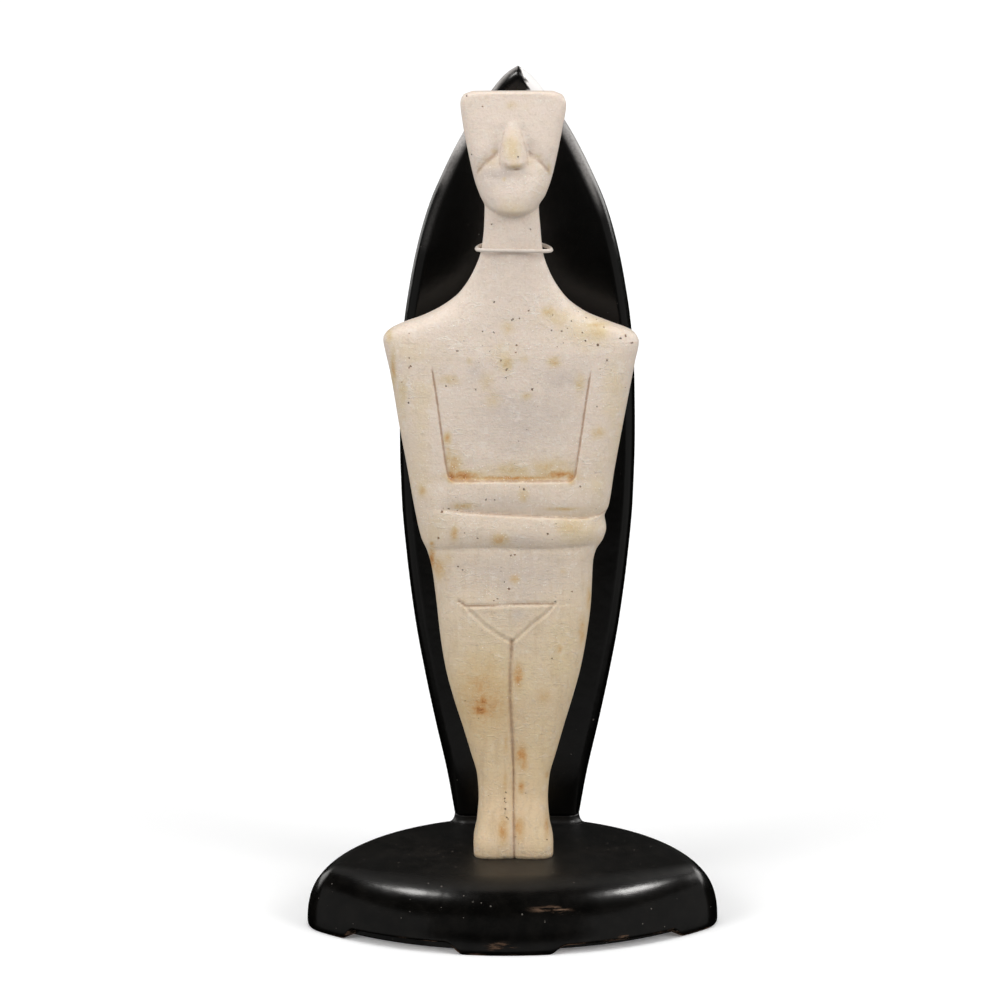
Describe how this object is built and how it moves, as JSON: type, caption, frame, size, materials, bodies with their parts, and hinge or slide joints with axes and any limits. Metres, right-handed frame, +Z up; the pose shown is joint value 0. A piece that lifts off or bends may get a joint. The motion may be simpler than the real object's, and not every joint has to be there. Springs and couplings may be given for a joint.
{
  "type": "cycladic figurine",
  "caption": "Folded-arm Cycladic marble figurine on a black wooden base, held by a wire round its neck before a leaf-shaped board.",
  "frame": {"origin": "on the ground plane, under the centre of the base's bounding box", "axes": "+Z up along the figure, -Y is the figure's front, +X is the viewer's right when facing the figure"},
  "size_m": [0.1514, 0.1058, 0.3113],
  "materials": {
    "marble": "fine matt, weathered, with brown stains",
    "black_lacquer": "satin black lacquer, worn brown at the edges",
    "wire_paint": "satin off-white paint"
  },
  "bodies": {
    "root": {"figurine": "marble", "stand_base": "black_lacquer", "stand_back": "black_lacquer", "neck_wire": "wire_paint"}
  },
  "joints": []
}
